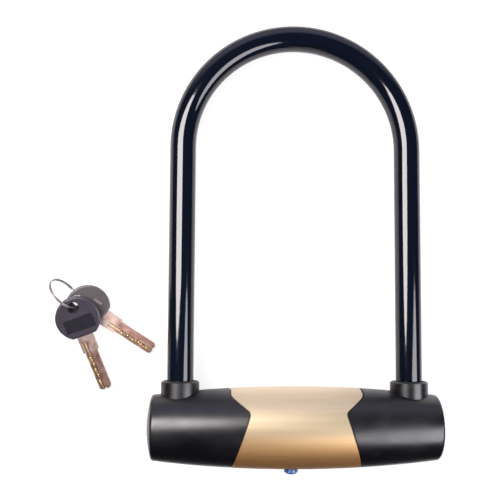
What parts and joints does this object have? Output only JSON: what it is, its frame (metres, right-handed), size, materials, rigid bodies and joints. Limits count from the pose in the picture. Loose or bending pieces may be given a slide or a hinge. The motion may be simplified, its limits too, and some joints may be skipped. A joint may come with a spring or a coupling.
{
  "type": "bicycle u lock",
  "caption": "Bicycle U lock: a coated steel shackle in a barrel crossbar with a gold sleeve, keyed bolts and a sliding dust cover, with keys on a split ring.",
  "frame": {"origin": "centre of the crossbar, on its axis, midway between the shackle's legs", "axes": "+X along the crossbar, +Y up the legs to the arch, +Z out of the face that looks up when the lock lies flat"},
  "size_m": [0.2284, 0.2635, 0.047],
  "materials": {
    "hardened_steel": "ground, lightly oiled",
    "bright_steel": "turned",
    "spring_steel": "drawn wire",
    "brass": "turned",
    "gloss_vinyl": "glossy dipped vinyl",
    "satin_plastic": "satin, fine grain",
    "carrier_plastic": "as moulded",
    "gold_aluminium": "satin champagne anodising",
    "seal_rubber": "matt",
    "shutter_steel": "stamped",
    "blue_plastic": "glossy, ribbed",
    "key_plastic": "satin moulding",
    "key_metal": "worn copper-toned nickel",
    "ring_steel": "bright wire"
  },
  "bodies": {
    "crossbar": {"lock_tube": "hardened_steel", "end_plug_left": "hardened_steel", "end_plug_right": "hardened_steel", "end_plug_pins": "bright_steel", "end_cover_left": "satin_plastic", "end_cover_right": "satin_plastic", "sleeve_carrier": "carrier_plastic", "centre_sleeve": "gold_aluminium", "collar_left": "satin_plastic", "collar_right": "satin_plastic", "leg_seals": "seal_rubber", "cylinder_housing": "brass", "housing_pin": "bright_steel", "chamber_strips": "brass", "driver_pins_locked": "bright_steel", "driver_springs_locked": "spring_steel", "driver_springs_open": "spring_steel", "bolt_guide_left": "bright_steel", "bolt_guide_right": "bright_steel", "guide_pins": "bright_steel"},
    "shackle": {"shackle_rod": "hardened_steel", "shackle_sleeve": "gloss_vinyl"},
    "plug": {"cylinder_plug": "brass", "plug_clip": "spring_steel", "cam_disc": "bright_steel"},
    "open_drivers": {"driver_pins_open": "bright_steel"},
    "plug_key_pins": {"key_pins": "brass"},
    "left_bolt": {"bolt_left": "hardened_steel", "bolt_pin_left": "bright_steel"},
    "right_bolt": {"bolt_right": "hardened_steel", "bolt_pin_right": "bright_steel"},
    "dust_cover": {"dust_cover_plate": "shutter_steel", "dust_cover_knob": "blue_plastic"},
    "ring": {"key_ring": "ring_steel"},
    "front_key": {"key_head_front": "key_plastic", "key_blade_front": "key_metal"},
    "back_key": {"key_head_back": "key_plastic", "key_blade_back": "key_metal"}
  },
  "joints": [
    {"name": "shackle_lift", "type": "slide", "parent": "crossbar", "child": "shackle", "axis": [0, 1, 0], "range_m": [0, 0.07]},
    {"name": "plug_turn", "type": "hinge", "parent": "crossbar", "child": "plug", "pos_m": [0, 0, 0], "axis": [0, 1, 0], "range_deg": [0, 90]},
    {"name": "left_bolt_slide", "type": "slide", "parent": "crossbar", "child": "left_bolt", "axis": [-1, 0, 0], "range_m": [0, 0.0045]},
    {"name": "right_bolt_slide", "type": "slide", "parent": "crossbar", "child": "right_bolt", "axis": [1, 0, 0], "range_m": [0, 0.0045]},
    {"name": "driver_drop", "type": "slide", "parent": "crossbar", "child": "open_drivers", "axis": [0, 0, 1], "range_m": [-0.0012, 0], "deforming": ["driver_springs_open"]},
    {"name": "key_pin_drop", "type": "slide", "parent": "plug", "child": "plug_key_pins", "axis": [0, 0, 1], "range_m": [-0.0012, 0]},
    {"name": "dust_cover_slide", "type": "slide", "parent": "crossbar", "child": "dust_cover", "axis": [-1, 0, 0], "range_m": [0, 0.0125]},
    {"name": "keys_lift", "type": "slide", "parent": "crossbar", "child": "ring", "axis": [0, -0.0693, 0.9976], "range_m": [0, 0.06]},
    {"name": "front_key_swing", "type": "hinge", "parent": "ring", "child": "front_key", "pos_m": [-0.1292, 0.06854, -0.00536], "axis": [0.0732, -0.2619, 0.9623], "range_deg": [-12, 12]},
    {"name": "back_key_swing", "type": "hinge", "parent": "ring", "child": "back_key", "pos_m": [-0.1279, 0.07257, -0.0129], "axis": [0.0584, -0.1071, 0.9925], "range_deg": [-12, 12]}
  ],
  "couplings": [
    {"joint": "right_bolt_slide", "follows": "left_bolt_slide", "ratio": 1},
    {"joint": "plug_turn", "follows": "left_bolt_slide", "rad_per_m": 349.06},
    {"joint": "key_pin_drop", "follows": "driver_drop", "ratio": 1}
  ]
}
